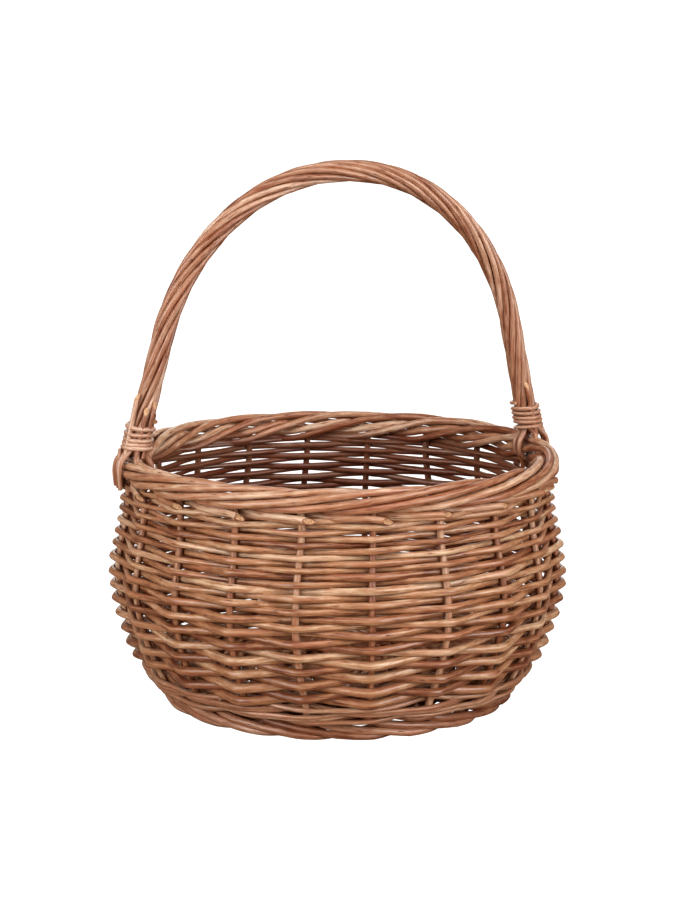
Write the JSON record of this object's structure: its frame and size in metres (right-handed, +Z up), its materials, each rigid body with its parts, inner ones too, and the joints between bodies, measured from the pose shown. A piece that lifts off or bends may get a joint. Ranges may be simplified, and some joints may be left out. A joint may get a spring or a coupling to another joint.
{
  "type": "egg collection basket",
  "caption": "Round bellied willow basket with a rolled rod border, a raised foot ring and a fixed roped bow handle, for gathering and carrying eggs.",
  "frame": {"origin": "on the ground, under the middle of the foot ring", "axes": "+Z up; the bow handle stands in the XZ plane, with its feet at -X and +X"},
  "size_m": [0.3052, 0.3052, 0.3605],
  "materials": {
    "base_stick": "satin bare willow",
    "base_weaver": "satin bare willow",
    "stake": "satin bare willow",
    "wale": "satin bare willow",
    "weaver": "satin bare willow",
    "foot": "satin bare willow",
    "handle_core": "satin bare willow",
    "handle_strand": "satin bare willow",
    "handle_lashing": "satin bare willow"
  },
  "bodies": {
    "root": {"base_stick_1": "base_stick", "base_stick_2": "base_stick", "base_stick_3": "base_stick", "base_stick_4": "base_stick", "base_stick_5": "base_stick", "base_weaver_1": "base_weaver", "base_weaver_2": "base_weaver", "stake_01": "stake", "stake_02": "stake", "stake_03": "stake", "stake_04": "stake", "stake_05": "stake", "stake_06": "stake", "stake_07": "stake", "stake_08": "stake", "stake_09": "stake", "stake_10": "stake", "stake_11": "stake", "stake_12": "stake", "stake_13": "stake", "stake_14": "stake", "stake_15": "stake", "stake_16": "stake", "stake_17": "stake", "stake_18": "stake", "stake_19": "stake", "stake_20": "stake", "wale_rod_1": "wale", "wale_rod_2": "wale", "wale_rod_3": "wale", "weaver_a1": "weaver", "weaver_a2": "weaver", "weaver_a3": "weaver", "weaver_a4": "weaver", "weaver_a5": "weaver", "weaver_a6": "weaver", "weaver_a7": "weaver", "weaver_b1": "weaver", "weaver_b2": "weaver", "weaver_b3": "weaver", "weaver_b4": "weaver", "weaver_b5": "weaver", "weaver_b6": "weaver", "weaver_b7": "weaver", "foot_ring": "foot", "handle_core": "handle_core", "handle_strand_1": "handle_strand", "handle_strand_2": "handle_strand", "handle_strand_3": "handle_strand", "handle_strand_4": "handle_strand", "handle_strand_5": "handle_strand", "handle_strand_6": "handle_strand", "handle_strand_7": "handle_strand", "handle_strand_8": "handle_strand", "handle_lashing_left": "handle_lashing", "handle_lashing_right": "handle_lashing"}
  },
  "joints": []
}
